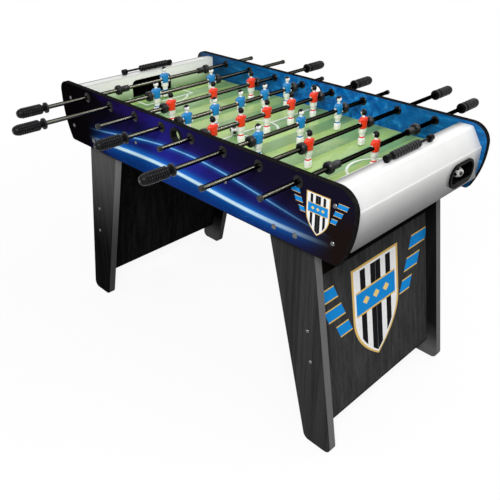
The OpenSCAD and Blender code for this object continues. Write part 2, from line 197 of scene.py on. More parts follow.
# ---- Side panels ----
# Two long particle boards with rounded ends, covered with a glossy printed foil: dark night
# colours with waves of light outside, a strong mottled blue inside. They carry the rods.
def new_finish(name, **plain):
    """A material, its nodes and its shader, with plain values set on the shader's own sockets."""
    finish = bpy.data.materials.new(name)
    finish.use_nodes = True
    shader = finish.node_tree.nodes["Principled BSDF"]
    for label, value in plain.items():
        shader.inputs[label.replace("_", " ")].default_value = value
    return finish, finish.node_tree, shader


def dress(finish, *nodes):
    """Gives solids of the table one finish all over."""
    for node in nodes:
        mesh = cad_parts[node].data
        mesh.materials.clear()
        mesh.materials.append(finish)


def size_of(tree, value):
    """A number without its sign."""
    return sum_of(tree, "ABSOLUTE", value)


def smaller(tree, first, second):
    """The smaller of two numbers."""
    return sum_of(tree, "MINIMUM", first, second)


def gap(tree, first, second):
    """How far two numbers lie apart."""
    return size_of(tree, minus(tree, first, second))


def axes_of(tree, vector):
    """The X, Y and Z of a place or a direction."""
    return lay(tree, "SeparateXYZ", {"Vector": vector}).outputs


def step_between(tree, value, low, high):
    """0 below low, 1 above high, and a soft step between them."""
    return lay(tree, "MapRange", {"Value": value, 1: low, 2: high},
               interpolation_type="SMOOTHSTEP").outputs[0]


def tint(tree, amount, under, over, how="MIX"):
    """Lays one colour over another."""
    piece = tree.nodes.new("ShaderNodeMix")
    piece.data_type = "RGBA"
    piece.blend_type = how
    # a mix of two colours takes its amount at 0 and the colours at 6 and 7, and gives the result at 2
    for number, value in ((0, amount), (6, under), (7, over)):
        feed(tree, value, piece.inputs[number])
    return piece.outputs[2]


def colour_scale(tree, value, stops):
    """Colours along a value from 0 to 1; stops are (place, colour)."""
    piece = lay(tree, "ValToRGB", {"Fac": value})
    marks = piece.color_ramp.elements
    while len(marks) < len(stops):
        marks.new(0.5)
    for mark, (place, colour) in zip(marks, stops):
        mark.position = place
        mark.color = (*colour, 1)
    return piece.outputs["Color"]


def grain_noise(tree, where, scale, detail=2.0, roughness=0.5):
    """Cloudy noise at the given scale, per metre."""
    return lay(tree, "TexNoise",
               {"Vector": where, "Scale": scale, "Detail": detail, "Roughness": roughness}).outputs["Fac"]


def stretched(tree, where, along, across, up_scale):
    """The same place with each axis scaled, for noise that runs in one direction."""
    return lay(tree, "Mapping", {"Vector": where, "Scale": (along, across, up_scale)}).outputs[0]


def raise_skin(tree, shader, height, strength, distance):
    """Raises and sinks a surface a little, by a height from 0 to 1 and a distance in metres."""
    bump = lay(tree, "Bump", {"Height": height, "Strength": strength, "Distance": distance})
    feed(tree, bump.outputs[0], shader.inputs["Normal"])


def roughen(tree, shader, value, smooth, rough):
    """Lets a surface's gloss change with a value from 0 to 1."""
    feed(tree, mapped(tree, value, 0.0, 1.0, smooth, rough), shader.inputs["Roughness"])


def new_group(name, inputs, outputs):
    """An effect used by several finishes: its nodes, its named inputs and its named outputs."""
    group = bpy.data.node_groups.new(name, "ShaderNodeTree")
    for label, kind, value in inputs:
        socket = group.interface.new_socket(label, in_out="INPUT", socket_type="NodeSocket" + kind)
        socket.default_value = value
    for label, kind in outputs:
        group.interface.new_socket(label, in_out="OUTPUT", socket_type="NodeSocket" + kind)
    given = group.nodes.new("NodeGroupInput")
    sink = group.nodes.new("NodeGroupOutput")
    return group, given.outputs, sink.inputs


def use_group(tree, group, **sockets):
    """Places an effect in a finish with that finish's own values, and gives its outputs."""
    return lay(tree, "Group", {label.replace("_", " "): value for label, value in sockets.items()},
               node_tree=group).outputs


# The printed crest is a plain striped shield between three slanted bars on each side. It is drawn
# in shares of its half width and half height, and the same drawing serves the panels of the legs.
crest_gold = (0.80, 0.52, 0.12, 1)
crest_blue = (0.012, 0.25, 0.66, 1)
lozenge_pitch = 0.24
crest, crest_in, crest_out = new_group("crest_print",
                                       [("Across", "Float", 0.0), ("Up", "Float", 0.0)],
                                       [("Colour", "Color"), ("Mask", "Float")])
side = size_of(crest, crest_in["Across"])
drop = larger(crest, times(crest, crest_in["Up"], -1.0), 0.0)
shield_half = times_plus(crest, sum_of(crest, "POWER", drop, 2.2), -0.56, 0.56)
shield_in = smaller(crest, minus(crest, shield_half, side), minus(crest, 0.92, crest_in["Up"]))
shield = step_between(crest, shield_in, 0.0, 0.012)
gold_rim = step_between(crest, shield_in, 0.045, 0.055)
white_rim = step_between(crest, shield_in, 0.085, 0.095)
stripes = step_between(crest, sum_of(crest, "SINE", times(crest, side, 26.0)), -0.1, 0.1)
field = tint(crest, stripes, (0.86, 0.86, 0.86, 1), (0.012, 0.012, 0.014, 1))
band_off = gap(crest, crest_in["Up"], 0.22)
band_edge = step_between(crest, band_off, 0.245, 0.23)
band = step_between(crest, band_off, 0.21, 0.2)
field = tint(crest, band_edge, field, crest_gold)
field = tint(crest, band, field, crest_blue)
lozenge_number = sum_of(crest, "ROUND", sum_of(crest, "DIVIDE", side, lozenge_pitch))
lozenge_row = gap(crest, side, times(crest, lozenge_number, lozenge_pitch))
lozenge = step_between(crest, sum_of(crest, "ADD", lozenge_row, band_off), 0.085, 0.075)
lozenge = times(crest, lozenge, step_between(crest, side, 0.36, 0.34))
field = tint(crest, lozenge, field, (0.85, 0.62, 0.20, 1))
shield_paint = tint(crest, white_rim, (0.9, 0.9, 0.9, 1), field)
shield_paint = tint(crest, gold_rim, (0.72, 0.48, 0.14, 1), shield_paint)
slant = times_plus(crest, crest_in["Up"], -0.35, side)
bar_up = times_plus(crest, crest_in["Up"], 2.6, 0.55)
bar_cell = gap(crest, sum_of(crest, "FRACT", bar_up), 0.5)
bar_reach = times_plus(crest, sum_of(crest, "FLOOR", bar_up), 0.09, 0.90)
bar_length = times(crest, step_between(crest, slant, 0.62, 0.635),
                   step_between(crest, minus(crest, bar_reach, slant), 0.0, 0.012))
three_bars = times(crest, step_between(crest, bar_up, 0.0, 0.01), step_between(crest, bar_up, 3.0, 2.99))
bars = times(crest, times(crest, step_between(crest, bar_cell, 0.33, 0.315), bar_length), three_bars)
bar_core = step_between(crest, bar_cell, 0.27, 0.255)
bar_paint = tint(crest, bar_core, crest_gold, crest_blue)
feed(crest, tint(crest, shield, bar_paint, shield_paint), crest_out["Colour"])
feed(crest, larger(crest, shield, bars), crest_out["Mask"])

panel_low, panel_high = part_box("side_panel_front")
panel_middle_y = (panel_low.y + panel_high.y) / 2
panel_length = panel_high.x - panel_low.x
printed, t, printed_shader = new_finish("printed_panel", Specular_IOR_Level=0.0, Coat_Roughness=0.04)
# the outer print is the same on both panels: along runs to the right for whoever stands before it
spot = own_place(t)
axes = axes_of(t, spot)
front_side = sum_of(t, "LESS_THAN", axes["Y"], 0.0)
facing_sign = times_plus(t, front_side, 2.0, -1.0)
along = times(t, axes["X"], facing_sign)
rise = axes["Z"]
outside = sum_of(t, "GREATER_THAN", size_of(t, axes["Y"]), -panel_middle_y)
clouds = grain_noise(t, stretched(t, spot, 5, 5, 9), 1.0, 3.0, 0.55)
length_share = times_plus(t, along, 1 / panel_length, 0.5)
night = colour_scale(t, length_share,
                     [(0.0, (0.0028, 0.0018, 0.0022)), (0.18, (0.0040, 0.0030, 0.0050)),
                      (0.30, (0.0065, 0.0050, 0.0200)), (0.37, (0.0070, 0.0060, 0.0480)),
                      (0.46, (0.0215, 0.0190, 0.2500)), (0.57, (0.0200, 0.0180, 0.2100)),
                      (0.66, (0.0080, 0.0070, 0.0500)), (0.84, (0.0095, 0.0065, 0.0240)),
                      (0.92, (0.0110, 0.0068, 0.0064))])
purple_length = times(t, step_between(t, along, -0.52, -0.30), step_between(t, along, 0.42, 0.15))
purple = times(t, step_between(t, clouds, 0.47, 0.68), purple_length)
night = tint(t, times(t, purple, 0.30), night, (0.040, 0.012, 0.26, 1))
late_sky = times(t, step_between(t, rise, 0.700, 0.785), step_between(t, along, -0.16, 0.08))
night = tint(t, times(t, late_sky, 0.80), night, (0.0070, 0.0060, 0.0190, 1))
lit_length = times(t, step_between(t, along, -0.47, -0.26), step_between(t, along, 0.56, 0.20))


def light_wave(base, height, wave_length, start, core, glow):
    """One wave of light along the panel: its height there, its thin bright line and the glow round it."""
    phase = times(t, sum_of(t, "ADD", along, start), 2 * math.pi / wave_length)
    line = times_plus(t, sum_of(t, "SINE", phase), height, base)
    off = gap(t, rise, line)
    bright = times(t, step_between(t, off, core, core * 0.3), lit_length)
    halo = times(t, sum_of(t, "POWER", step_between(t, off, glow, 0.0), 2.0), lit_length)
    return line, bright, halo


low_line, low_bright, low_halo = light_wave(0.6585, 0.0085, 0.86, 0.30, 0.0085, 0.042)
high_line, high_bright, high_halo = light_wave(0.705, 0.030, 1.25, 0.28, 0.0034, 0.022)
halo = times_plus(t, high_halo, 0.35, low_halo)
dusk = times(t, step_between(t, gap(t, rise, low_line), 0.095, 0.0), lit_length)
night = tint(t, times(t, dusk, 0.45), night, (0.012, 0.030, 0.34, 1))
night = tint(t, times(t, halo, 0.85), night, (0.010, 0.23, 0.80, 1))
below = times(t, step_between(t, minus(t, low_line, rise), 0.0, 0.006), lit_length)
night = tint(t, times(t, below, 0.75), night, (0.002, 0.040, 0.190, 1))
star_cells = lay(t, "TexVoronoi", {"Vector": spot, "Scale": 230.0}).outputs["Distance"]
stars = step_between(t, star_cells, 0.22, 0.05)
star_field = step_between(t, grain_noise(t, spot, 30, 2.0), 0.45, 0.7)
spark_share = larger(t, below, times(t, high_halo, 0.8))
sparks = times(t, times(t, stars, star_field), spark_share)
night = tint(t, times(t, sparks, 0.8), night, (0.30, 0.62, 1.0, 1))
night = tint(t, times(t, high_bright, 0.75), night, (0.25, 0.62, 0.98, 1))
night = tint(t, low_bright, night, (0.62, 0.87, 1.0, 1))
badge_along = 0.505
badge_rise = 0.724
badge_half_length = 0.062
badge_half_height = 0.056
badge_across = times_plus(t, along, 1 / badge_half_length, -badge_along / badge_half_length)
badge_up = times_plus(t, rise, 1 / badge_half_height, -badge_rise / badge_half_height)
badge = use_group(t, crest, Across=badge_across, Up=badge_up)
outer_print = tint(t, badge["Mask"], night, badge["Colour"])

# the inner print is a strong mottled blue along the middle, plainer at both ends and darker at the left
mottle = grain_noise(t, spot, 34, 4.0, 0.65)
blue = colour_scale(t, mottle,
                    [(0.30, (0.001, 0.060, 0.260)), (0.48, (0.002, 0.120, 0.420)),
                     (0.60, (0.006, 0.210, 0.600)), (0.72, (0.06, 0.42, 0.88))])
streak = grain_noise(t, stretched(t, spot, 7, 7, 42), 1.0, 3.0, 0.6)
plain_blue = colour_scale(t, streak,
                          [(0.35, (0.001, 0.060, 0.200)), (0.55, (0.002, 0.110, 0.320)),
                           (0.72, (0.02, 0.24, 0.58))])
middle_share = step_between(t, size_of(t, sum_of(t, "ADD", axes["X"], -0.06)), 0.42, 0.12)
dim_end = step_between(t, axes["X"], -0.28, -0.56)
plain_blue = tint(t, times(t, dim_end, 0.55), plain_blue, (0.001, 0.012, 0.035, 1))
plain_blue = tint(t, step_between(t, axes["X"], -0.575, -0.600), plain_blue, (0.003, 0.003, 0.004, 1))
inner_print = tint(t, middle_share, plain_blue, blue)
glints = times(t, step_between(t, star_cells, 0.2, 0.04), middle_share)
glints = times(t, glints, step_between(t, mottle, 0.42, 0.62))
inner_print = tint(t, times(t, glints, 0.75), inner_print, (0.34, 0.68, 1.0, 1))
feed(t, tint(t, outside, inner_print, outer_print), printed_shader.inputs["Base Color"])
feed(t, times_plus(t, outside, -0.35, 0.35), printed_shader.inputs["Coat Weight"])
ripple = grain_noise(t, spot, 22, 1.0)
raise_skin(t, printed_shader, ripple, 0.05, 0.004)
smears = grain_noise(t, spot, 9, 4.0, 0.6)
roughen(t, printed_shader, smears, 0.14, 0.27)
dress(printed, "side_panel_front", "side_panel_back")

# ---- Edge trims ----
# Black plastic strips pressed round the raw edges of the side panels; satin, with the fine
# scratches that handles and hands leave on the top edge.
moulded, moulded_in, moulded_out = new_group(
    "moulded_surface",
    [("Colour", "Color", (0.01, 0.01, 0.01, 1)), ("Worn colour", "Color", (0.05, 0.05, 0.05, 1)),
     ("Grain size", "Float", 900.0), ("Roughness", "Float", 0.4), ("Wear", "Float", 0.3)],
    [("Colour", "Color"), ("Roughness", "Float"), ("Height", "Float")])
m = moulded
moulded_spot = own_place(m)
fine = grain_noise(m, moulded_spot, moulded_in["Grain size"], 2.0, 0.6)
patches = grain_noise(m, moulded_spot, 26, 4.0, 0.65)
scratch = lay(m, "TexWave",
              {"Vector": moulded_spot, "Scale": 16.0, "Distortion": 22.0, "Detail": 3.0,
               "Detail Scale": 2.5}).outputs["Fac"]
scratch = step_between(m, scratch, 0.975, 1.0)
rubbed = times(m, larger(m, step_between(m, patches, 0.55, 0.8), scratch), moulded_in["Wear"])
feed(m, tint(m, rubbed, moulded_in["Colour"], moulded_in["Worn colour"]), moulded_out["Colour"])
feed(m, times_plus(m, minus(m, patches, 0.5), 0.35, moulded_in["Roughness"]), moulded_out["Roughness"])
feed(m, times_plus(m, scratch, -0.6, fine), moulded_out["Height"])


def moulded_finish(name, colour, worn, roughness, wear, grain=900.0, bump=0.1, **plain):
    """Moulded plastic or rubber in one colour, with its fine skin and a little wear."""
    finish, tree, shader = new_finish(name, **plain)
    skin = use_group(tree, moulded, Colour=(*colour, 1), Worn_colour=(*worn, 1), Grain_size=grain,
                     Roughness=roughness, Wear=wear)
    feed(tree, skin["Colour"], shader.inputs["Base Color"])
    feed(tree, skin["Roughness"], shader.inputs["Roughness"])
    raise_skin(tree, shader, skin["Height"], bump, 0.0004)
    return finish


trim_plastic = moulded_finish("edge_trim", (0.010, 0.0095, 0.010), (0.036, 0.036, 0.037), 0.45, 0.6,
                              Specular_IOR_Level=0.0)
dress(trim_plastic, "edge_trims")

# ---- Pitch ----
# A thin board with a printed, varnished green field: mown bands along the rods, white lines,
# and the soft uneven gloss of the varnish.
pitch_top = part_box("playfield")[1].z
band_width = 0.056
line_half = 0.0036
line_blur = 0.0006
grass, t, grass_shader = new_finish("pitch", Coat_Weight=0.45, Coat_Roughness=0.05)
spot = own_place(t)
axes = axes_of(t, spot)
x, y = axes["X"], axes["Y"]
bands = sum_of(t, "PINGPONG", sum_of(t, "DIVIDE", sum_of(t, "ADD", x, -band_width / 2), band_width), 1.0)
bands = step_between(t, bands, 0.46, 0.54)
turf = tint(t, bands, (0.150, 0.345, 0.110, 1), (0.440, 0.660, 0.165, 1))
patch = grain_noise(t, stretched(t, spot, 5, 3, 1), 1.0, 3.0, 0.6)
turf = tint(t, times(t, step_between(t, patch, 0.50, 0.72), 0.55), turf, (0.06, 0.30, 0.19, 1))
dry = grain_noise(t, stretched(t, spot, 8, 5, 1), 1.7, 3.0, 0.6)
turf = tint(t, times(t, step_between(t, dry, 0.52, 0.75), 0.5), turf, (0.60, 0.66, 0.27, 1))
blades = grain_noise(t, stretched(t, spot, 420, 150, 1), 1.0, 2.0, 0.7)
turf = tint(t, 0.35, turf, colour_scale(t, blades, [(0.3, (0.12, 0.25, 0.07)), (0.7, (0.42, 0.60, 0.22))]))


def ring(centre, radius):
    """Distance from a circle that is drawn on each half of the pitch."""
    off_centre = minus(t, size_of(t, x), centre)
    squares = sum_of(t, "ADD", times(t, off_centre, off_centre), times(t, y, y))
    return gap(t, sum_of(t, "SQRT", squares), radius)


far_x = size_of(t, x)
far_y = size_of(t, y)
goal_box_x = 0.418
goal_box_half = 0.100
goal_arc_x = 0.468
goal_arc_radius = 0.091
middle_radius = 0.072
halfway = gap(t, x, 0.0)
circle = ring(0.0, middle_radius)
box_side = larger(t, gap(t, far_y, goal_box_half), minus(t, goal_box_x, far_x))
box_end = larger(t, gap(t, far_x, goal_box_x), minus(t, far_y, goal_box_half))
box_arc = larger(t, ring(goal_arc_x, goal_arc_radius), minus(t, far_x, goal_box_x))
lines = halfway
for mark in (circle, box_side, box_end, box_arc):
    lines = smaller(t, lines, mark)
painted = step_between(t, lines, line_half + line_blur, line_half - line_blur)
turf = tint(t, times(t, painted, 0.95), turf, (0.86, 0.92, 0.84, 1))
feed(t, turf, grass_shader.inputs["Base Color"])
varnish = grain_noise(t, stretched(t, spot, 9, 14, 1), 1.0, 2.0, 0.5)
raise_skin(t, grass_shader, varnish, 0.16, 0.01)
roughen(t, grass_shader, varnish, 0.30, 0.48)
dress(grass, "playfield")

# ---- Raw wood inside ----
# Two pine bars under the pitch and four battens in the corners hold the boards together;
# they are sawn, unpainted softwood.
pine, t, pine_shader = new_finish("raw_wood", Roughness=0.7)
spot = own_place(t)
rings = lay(t, "TexWave",
            {"Vector": stretched(t, spot, 70, 3, 70), "Scale": 1.0, "Distortion": 5.0, "Detail": 3.0},
            wave_type="RINGS").outputs["Fac"]
fibres = grain_noise(t, stretched(t, spot, 900, 30, 900), 1.0, 2.0)
ring_colour = colour_scale(t, rings, [(0.2, (0.50, 0.30, 0.14)), (0.8, (0.66, 0.46, 0.25))])
fibre_colour = colour_scale(t, fibres, [(0.3, (0.38, 0.22, 0.10)), (0.7, (0.70, 0.50, 0.30))])
feed(t, tint(t, 0.3, ring_colour, fibre_colour), pine_shader.inputs["Base Color"])
raise_skin(t, pine_shader, fibres, 0.3, 0.0005)
dress(pine, "field_cross_bars", "corner_battens")

# ---- End walls ----
# Boards across the ends of the pitch, coated white on the pitch side with a pale green border
# printed along their foot. The goal mouth's cut edges are black, and so is the hidden outer side.
def facing_of(tree):
    """The X, Y and Z of the way that a surface faces."""
    return axes_of(tree, lay(tree, "NewGeometry").outputs["Normal"])


border_top = 0.757
border_blur = 0.001
goal_half = 0.1
wall_paint, t, wall_shader = new_finish("white_board", Roughness=0.3)
spot = own_place(t)
axes = axes_of(t, spot)
border = step_between(t, axes["Z"], border_top + border_blur, border_top - border_blur)
wash = colour_scale(t, mapped(t, axes["Z"], pitch_top, border_top),
                    [(0.0, (0.36, 0.50, 0.26)), (1.0, (0.58, 0.70, 0.50))])
chalk = grain_noise(t, spot, 60, 4.0, 0.6)
white_coat = colour_scale(t, chalk, [(0.3, (0.92, 0.89, 0.90)), (0.7, (0.96, 0.93, 0.94))])
facing = facing_of(t)
jamb = times(t, step_between(t, size_of(t, facing["X"]), 0.6, 0.4),
             sum_of(t, "LESS_THAN", size_of(t, axes["Y"]), goal_half))
coated = tint(t, jamb, tint(t, border, white_coat, wash), (0.004, 0.004, 0.004, 1))
pitch_side = times(t, facing["X"], sum_of(t, "SIGN", axes["X"]))
uncoated = larger(t, step_between(t, pitch_side, 0.5, 0.6), step_between(t, facing["Z"], -0.5, -0.6))
feed(t, tint(t, uncoated, coated, (0.010, 0.008, 0.007, 1)), wall_shader.inputs["Base Color"])
roughen(t, wall_shader, chalk, 0.24, 0.36)
raise_skin(t, wall_shader, grain_noise(t, spot, 700, 2.0), 0.06, 0.0004)
dress(wall_paint, "end_wall_left", "end_wall_right")

# ---- Moulded ends ----
# Glossy white plastic shells over both ends: a narrow flat top, a round shoulder down to a
# crease and an almost upright face with the hole for the return cup, screwed to the panels.
def joined(form, below, above):
    """Joins two closed rows of corners with a band of faces, and gives the faces."""
    count = len(below)
    return [form.faces.new((below[n], below[(n + 1) % count], above[(n + 1) % count], above[n]))
            for n in range(count)]


def closed_between(first, last):
    """A closed form between two flat rows of points."""
    form = bmesh.new()
    rows = [[form.verts.new(point) for point in row] for row in (first, last)]
    joined(form, *rows)
    form.faces.new(rows[0][::-1])
    form.faces.new(rows[1])
    bmesh.ops.recalc_face_normals(form, faces=form.faces)
    return form


def mesh_of(form, name, sharp_above=30):
    """The finished mesh, smooth except where its faces meet at more than an angle in degrees."""
    mesh = bpy.data.meshes.new(name)
    form.to_mesh(mesh)
    form.free()
    mesh.shade_smooth()
    mesh.set_sharp_from_angle(angle=math.radians(sharp_above))
    return mesh


def add_piece(name, mesh, body, slot, *finishes):
    """Puts a mesh on the table as a piece that moves with a body."""
    for finish in finishes:
        mesh.materials.append(finish)
    piece = bpy.data.objects.new(name, mesh)
    bpy.context.scene.collection.objects.link(piece)
    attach(piece, body)
    return piece


def oblong(low_y, high_y, low_z, high_z, steps=20):
    """Points round an upright oblong with half-round ends, as (y, z)."""
    radius = (high_z - low_z) / 2
    middle = (high_z + low_z) / 2
    points = []
    for centre, start in ((high_y - radius, -90), (low_y + radius, 90)):
        for n in range(steps + 1):
            angle = math.radians(start + 180 * n / steps)
            points.append((centre + radius * math.cos(angle), middle + radius * math.sin(angle)))
    return points


# the right end is made first, and turned half round it is the left one too
shell_low, shell_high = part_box("end_apron_right")
cup_low, cup_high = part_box("ball_return_right")
shell_wall = 0.005
shoulder_x = 0.561
shoulder_r = 0.014
crease_z = 0.748
crease_lip = 0.003
lean = 0.003
slope = math.atan2(shell_high.z - crease_z, shell_high.x - shoulder_x)
hole_margin = 0.004


def shell_side(inset):
    """The shell's section from the pitch edge over the shoulder to the crease."""
    arc_x = shoulder_x - shoulder_r * math.tan(slope / 2)
    arc_z = shell_high.z - shoulder_r
    radius = shoulder_r - inset
    points = [(shell_low.x, shell_high.z - inset), (arc_x - 0.002, shell_high.z - inset)]
    for n in range(17):
        angle = math.pi / 2 - slope * n / 16
        points.append((arc_x + radius * math.cos(angle), arc_z + radius * math.sin(angle)))
    end = Vector((shell_high.x - crease_lip - inset, crease_z + 0.0008 - 0.3 * inset))
    last = Vector(points[-1])
    points += [tuple(last.lerp(end, 0.04)), tuple(last.lerp(end, 0.96)), tuple(end)]
    return points


# from the crease down: the lip's small round, the almost upright face and its foot
lip_and_face = [(shell_high.x - 0.0009, crease_z - 0.0004), (shell_high.x - 0.0002, crease_z - 0.0011),
                (shell_high.x, crease_z - 0.0022), (shell_high.x - 0.0001, crease_z - 0.0050),
                (shell_high.x - lean + 0.0002, shell_low.z + 0.0008),
                (shell_high.x - lean - 0.0006, shell_low.z)]
inner = shell_side(shell_wall) + [(shell_high.x - lean - shell_wall, shell_low.z)]
section = shell_side(0) + lip_and_face + inner[::-1]
side_gap = 0.0003
shell_form = closed_between(*[[(x, place, z) for x, z in section]
                              for place in (shell_low.y + side_gap, shell_high.y - side_gap)])
shell = bpy.data.objects.new("shell_blank", mesh_of(shell_form, "shell"))
bpy.context.scene.collection.objects.link(shell)
rim = oblong(cup_low.y + hole_margin, cup_high.y - hole_margin,
             cup_low.z + hole_margin, cup_high.z - hole_margin)
punch_form = closed_between(*[[(place, y, z) for y, z in rim]
                              for place in (shell_high.x - 0.03, shell_high.x + 0.01)])
punch = bpy.data.objects.new("punch", mesh_of(punch_form, "punch"))
bpy.context.scene.collection.objects.link(punch)
cut = shell.modifiers.new("cup_hole", "BOOLEAN")
cut.operation = "DIFFERENCE"
cut.solver = "EXACT"
cut.object = punch
shell_mesh = bpy.data.meshes.new_from_object(shell.evaluated_get(bpy.context.evaluated_depsgraph_get()))
bpy.data.objects.remove(shell)
bpy.data.objects.remove(punch)
shell_mesh.materials.clear()
shell_mesh.shade_smooth()
shell_mesh.set_sharp_from_angle(angle=math.radians(20))

# Painted shade: the white is darker along the pitch's edge on the right end, and on the flat top and along
# the ridge on the left one; a painted fall-off of light darkens it towards the foot, below the crease.
painted_soft_shade = (0.07, 0.07, 0.07, 1)
painted_shade_width = 0.027
painted_ridge_from = (0.545, 0.551)
painted_ridge_to = (0.572, 0.566)
gloss, t, gloss_shader = new_finish("white_gloss", Specular_IOR_Level=0.35, Coat_Weight=0.1,
                                    Coat_Roughness=0.05)
spot = own_place(t)
axes = axes_of(t, spot)
out_x = size_of(t, axes["X"])
flow = grain_noise(t, spot, 14, 3.0, 0.5)
plastic = colour_scale(t, flow, [(0.3, (0.78, 0.78, 0.78)), (0.7, (0.82, 0.82, 0.82))])
on_right = sum_of(t, "GREATER_THAN", axes["X"], 0.0)
on_left = minus(t, 1.0, on_right)
# painted shade along the pitch's edge of the right end
painted_pitch_edge_shade = step_between(t, out_x, shell_low.x + painted_shade_width, shell_low.x - 0.002)
plastic = tint(t, times(t, painted_pitch_edge_shade, times(t, on_right, 0.85)), plastic, painted_soft_shade)
# painted shade on the left end's flat top and along its ridge
painted_left_top_shade = step_between(t, out_x, shell_low.x + 0.006, shell_low.x + 0.010)
painted_ridge_shade = times(t, step_between(t, out_x, *painted_ridge_from), step_between(t, out_x, *painted_ridge_to))
painted_left_shade = times_plus(t, painted_ridge_shade, 0.86, times(t, painted_left_top_shade, 0.14))
plastic = tint(t, times(t, painted_left_shade, on_left), plastic, painted_soft_shade)
crease_at = (crease_z - shell_low.z) / (shell_high.z - shell_low.z)
# painted light levels up the shell: dark at the foot, brightest near the top
up_the_shell = mapped(t, axes["Z"], shell_low.z, shell_high.z)
lights = [(0.0, 0.06), (0.36 * crease_at, 0.26), (0.78 * crease_at, 0.64), (0.98 * crease_at, 0.90),
          (1.03 * crease_at, 0.83), (0.9, 1.0)]
painted_fall_off = colour_scale(t, up_the_shell, [(place, (light, light, light * 0.99)) for place, light in lights])
plastic = tint(t, 1.0, plastic, painted_fall_off, "MULTIPLY")
feed(t, plastic, gloss_shader.inputs["Base Color"])
peel = grain_noise(t, spot, 260, 2.0, 0.5)
raise_skin(t, gloss_shader, peel, 0.03, 0.0006)
roughen(t, gloss_shader, flow, 0.16, 0.26)
for end, turn in (("right", 0.0), ("left", math.pi)):
    mesh = shell_mesh.copy()
    mesh.transform(Matrix.Rotation(turn, 4, "Z"))
    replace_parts(add_piece("moulded_end_" + end, mesh, "cabinet", "white_gloss", gloss), "end_apron_" + end)

# ---- Black mouldings ----
# The goal hoods, return cups, ball entry cups, rod bearings and score bars are injection
# moulded in black plastic, satin outside and duller in the hollows.
black_plastic = moulded_finish("black_plastic", (0.004, 0.004, 0.0045), (0.022, 0.022, 0.023), 0.30, 0.5,
                               Specular_IOR_Level=0.05)
cup_plastic = moulded_finish("cup_plastic", (0.002, 0.002, 0.002), (0.008, 0.008, 0.008), 0.2, 0.3,
                             Specular_IOR_Level=0.02)
bearing_plastic = moulded_finish("bearing_plastic", (0.006, 0.006, 0.0065), (0.03, 0.03, 0.031), 0.22, 0.5,
                                 Specular_IOR_Level=0.16)
for end in ("left", "right"):
    hood_plastic = moulded_finish("goal_hood_" + end, (0.003, 0.003, 0.003), (0.008, 0.008, 0.008), 0.6, 0.3,
                                  Specular_IOR_Level=0.0)
    dress(hood_plastic, "goal_box_" + end)
    dress(cup_plastic, "ball_return_" + end)
dress(black_plastic, "ball_entry_cups", "score_bars")
dress(bearing_plastic, "rod_bearings")

# ---- Legs ----
# Slanted boards and a cross panel at each end, particle board with a charcoal wood-grain
# foil and lighter edge bands; a black rail across the top of each frame is a painted shadow under the moulded
# end.
wood_print, wood_in, wood_out = new_group(
    "wood_grain", [("Dark", "Color", (0.02, 0.02, 0.02, 1)), ("Light", "Color", (0.06, 0.06, 0.06, 1)),
                   ("Contrast", "Float", 1.0)],
    [("Colour", "Color"), ("Height", "Float"), ("Roughness", "Float")])
w = wood_print
wood_spot = own_place(w)
drift = lay(w, "TexNoise", {"Vector": stretched(w, wood_spot, 6, 6, 1.2), "Scale": 1.0, "Detail": 2.0})
drift_by = lay(w, "VectorMath", {0: drift.outputs["Color"], "Scale": 0.02}, operation="SCALE").outputs[0]
bent = lay(w, "VectorMath", {0: wood_spot, 1: drift_by}, operation="ADD").outputs[0]
broad = grain_noise(w, stretched(w, bent, 55, 55, 0.6), 1.0, 3.0, 0.55)
fine_grain = grain_noise(w, stretched(w, bent, 260, 260, 5), 1.0, 3.0, 0.7)
pores = step_between(w, grain_noise(w, stretched(w, bent, 700, 700, 14), 1.0, 2.0, 0.6), 0.60, 0.72)
tone = times_plus(w, fine_grain, 0.45, times(w, broad, 0.55))
tone = times_plus(w, minus(w, tone, 0.5), wood_in["Contrast"], 0.5)
shade = tint(w, step_between(w, tone, 0.25, 0.75), wood_in["Dark"], wood_in["Light"])
feed(w, tint(w, times(w, pores, 0.5), shade, wood_in["Dark"]), wood_out["Colour"])
feed(w, times_plus(w, pores, -0.8, tone), wood_out["Height"])
feed(w, times_plus(w, tone, 0.25, 0.30), wood_out["Roughness"])


def board_finish(name, dark, light, contrast, band, face_axis):
    """Wood-grain foil on the faces of a board, which look along face_axis, and plainer bands on its edges."""
    finish, tree, shader = new_finish(name, Specular_IOR_Level=0.0)
    printed_grain = use_group(tree, wood_print, Dark=(*dark, 1), Light=(*light, 1), Contrast=contrast)
    facing = facing_of(tree)
    on_edge = step_between(tree, size_of(tree, facing[face_axis]), 0.75, 0.65)
    band_grain = tint(tree, 0.25, (*band, 1), printed_grain["Colour"])
    colour = tint(tree, on_edge, printed_grain["Colour"], band_grain)
    feed(tree, printed_grain["Roughness"], shader.inputs["Roughness"])
    raise_skin(tree, shader, printed_grain["Height"], 0.12, 0.0006)
    return tree, shader, colour, finish
